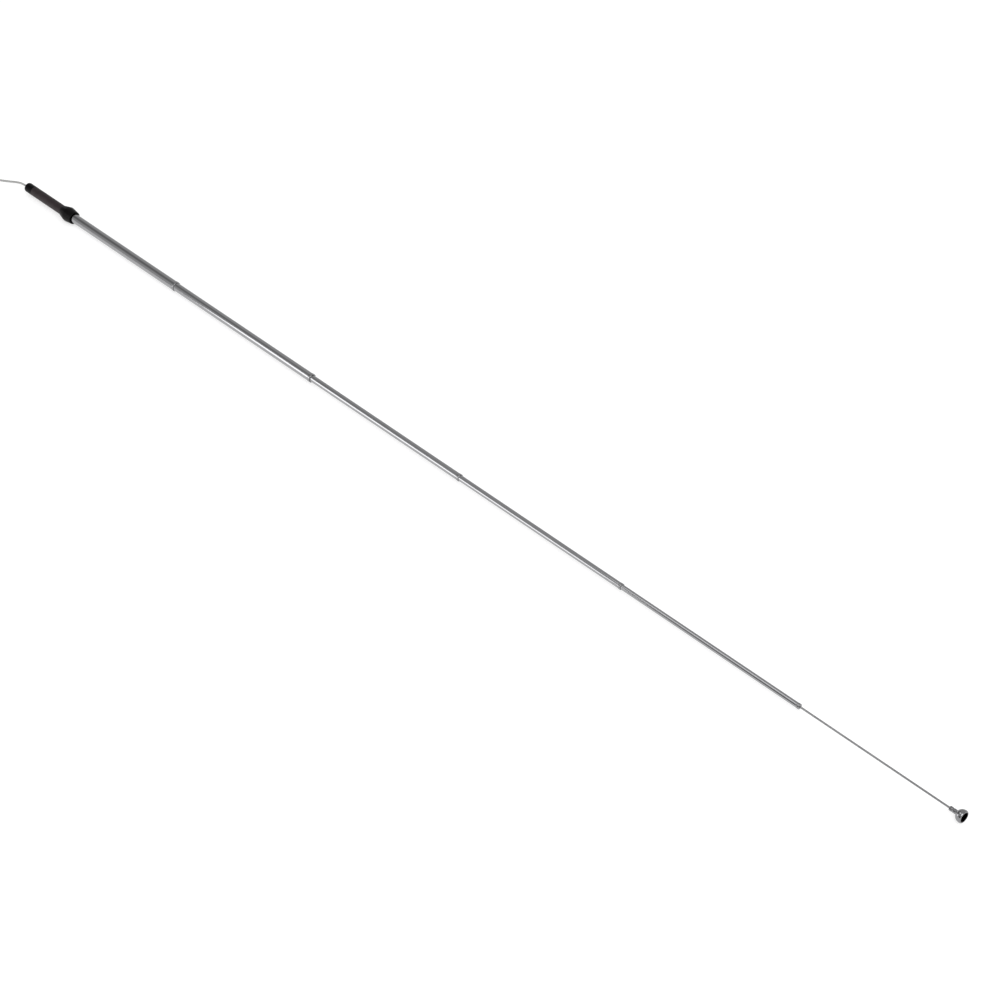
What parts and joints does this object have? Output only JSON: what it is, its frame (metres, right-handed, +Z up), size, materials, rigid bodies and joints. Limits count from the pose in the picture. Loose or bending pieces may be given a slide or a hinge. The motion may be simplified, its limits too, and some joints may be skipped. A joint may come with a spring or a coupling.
{
  "type": "telescopic magnetic pickup tool",
  "caption": "Slim telescopic pickup tool: black grip with a cord lanyard, bright nested tubes and a thin rod that ends in a small cup magnet.",
  "frame": {"origin": "under the middle of the drawn-out tool, on the surface that it lies on; the lanyard is left out of that middle", "axes": "+X along the tool from the tail to the magnet, +Z up from the surface, +Y to the left of the tool"},
  "size_m": [0.9322, 0.0154, 0.0102],
  "materials": {
    "moulded_black": "moulded ABS, satin",
    "grip_vinyl": "shrunk vinyl, fine grain",
    "plated_tube": "drawn and polished, bright nickel-chrome plate",
    "spring_wire": "drawn spring wire",
    "cup_chrome": "turned and chrome plated",
    "magnet_nickel": "sintered magnet, black nickel plate",
    "pole_steel": "punched mild steel",
    "spacer_nylon": "moulded nylon",
    "bush_brass": "rolled spring brass",
    "cord": "braided polyester, pale grey",
    "tie_rubber": "matte rubber band"
  },
  "bodies": {
    "handle": {"tail_cap": "moulded_black", "stopper_knot": "cord", "grip_sleeve": "grip_vinyl", "collar": "moulded_black", "tube_1": "plated_tube", "lanyard_cord": "cord", "lanyard_hank": "cord", "lanyard_end": "cord", "hank_tie": "tie_rubber", "end_knot": "cord"},
    "section_2": {"tube_2": "plated_tube", "spring_bush_2": "bush_brass"},
    "section_3": {"tube_3": "plated_tube", "spring_bush_3": "bush_brass"},
    "section_4": {"tube_4": "plated_tube", "spring_bush_4": "bush_brass"},
    "section_5": {"tube_5": "plated_tube", "spring_bush_5": "bush_brass"},
    "magnet_rod": {"rod": "spring_wire", "rod_bush": "bush_brass", "magnet_cup": "cup_chrome", "backing_disc": "pole_steel", "magnet": "magnet_nickel", "spacer_ring": "spacer_nylon"}
  },
  "joints": [
    {"name": "section_2_slide", "type": "slide", "parent": "handle", "child": "section_2", "axis": [1, 0, 0], "range_m": [-0.1366, 0]},
    {"name": "section_3_slide", "type": "slide", "parent": "section_2", "child": "section_3", "axis": [1, 0, 0], "range_m": [-0.1366, 0]},
    {"name": "section_4_slide", "type": "slide", "parent": "section_3", "child": "section_4", "axis": [1, 0, 0], "range_m": [-0.1366, 0]},
    {"name": "section_5_slide", "type": "slide", "parent": "section_4", "child": "section_5", "axis": [1, 0, 0], "range_m": [-0.1366, 0]},
    {"name": "magnet_rod_slide", "type": "slide", "parent": "section_5", "child": "magnet_rod", "axis": [1, 0, 0], "range_m": [-0.1071, 0]}
  ]
}
